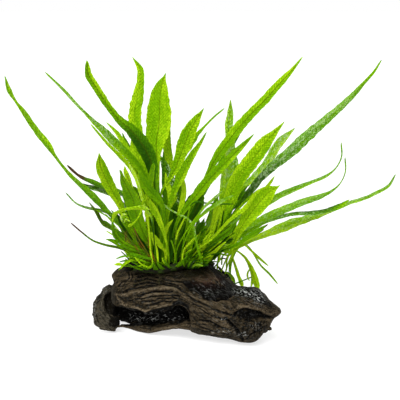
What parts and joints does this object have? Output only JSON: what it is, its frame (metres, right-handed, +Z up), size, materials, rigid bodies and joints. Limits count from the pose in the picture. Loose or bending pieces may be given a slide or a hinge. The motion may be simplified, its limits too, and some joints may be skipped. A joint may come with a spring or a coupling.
{
  "type": "java fern on driftwood",
  "caption": "Tuft of long, wavy, strap-shaped fern leaves growing from creeping rhizomes on a dark hollowed piece of driftwood that rests on its own flat feet.",
  "frame": {"origin": "on the floor under the middle of the plant's bounding box", "axes": "+X to the right along the plant's widest spread as seen from the front, +Y to the back, +Z up; the driftwood's hollow faces -Y"},
  "size_m": [0.3213, 0.1569, 0.2378],
  "materials": {
    "driftwood": "dark wet waterlogged wood with lighter brown grain ridges and small wet glints",
    "rhizome": "dark green-brown, rough, with fine dark roots",
    "leaf": "fresh yellow-green, slightly translucent, wet satin surface with a midrib and side veins"
  },
  "bodies": {
    "root": {"driftwood_left_lobe": "driftwood", "driftwood_lower_limb": "driftwood", "driftwood_trunk": "driftwood", "leaf_back_centre": "leaf", "leaf_back_left": "leaf", "leaf_back_low_left": "leaf", "leaf_back_low_right": "leaf", "leaf_back_middle": "leaf", "leaf_back_right": "leaf", "leaf_centre_bright": "leaf", "leaf_centre_narrow": "leaf", "leaf_centre_short": "leaf", "leaf_centre_thread": "leaf", "leaf_far_left": "leaf", "leaf_far_right": "leaf", "leaf_far_right_low": "leaf", "leaf_hanging_long": "leaf", "leaf_hanging_short": "leaf", "leaf_hanging_spray": "leaf", "leaf_hanging_thread": "leaf", "leaf_left_arching": "leaf", "leaf_left_bright": "leaf", "leaf_left_brown_thread": "leaf", "leaf_left_dark_broad": "leaf", "leaf_left_dark_low": "leaf", "leaf_left_loop": "leaf", "leaf_left_low_curl": "leaf", "leaf_left_olive": "leaf", "leaf_left_short_back": "leaf", "leaf_left_strip_pale": "leaf", "leaf_left_strip_upper": "leaf", "leaf_left_thin": "leaf", "leaf_left_thread": "leaf", "leaf_left_yellow": "leaf", "leaf_middle_bright": "leaf", "leaf_middle_broad": "leaf", "leaf_middle_leaning": "leaf", "leaf_middle_narrow": "leaf", "leaf_middle_thin": "leaf", "leaf_middle_wavy": "leaf", "leaf_right_broad": "leaf", "leaf_right_brown_tip": "leaf", "leaf_right_curled": "leaf", "leaf_right_curled_low": "leaf", "leaf_right_dark_behind": "leaf", "leaf_right_dark_low": "leaf", "leaf_right_dark_strip": "leaf", "leaf_right_long_inner": "leaf", "leaf_right_middle": "leaf", "leaf_right_pale": "leaf", "leaf_right_parallel_lower": "leaf", "leaf_right_parallel_upper": "leaf", "leaf_right_short_broad": "leaf", "leaf_right_short_narrow": "leaf", "leaf_right_upright": "leaf", "leaf_right_upright_back": "leaf", "rhizome_back": "rhizome", "rhizome_front": "rhizome", "rhizome_right": "rhizome"}
  },
  "joints": []
}
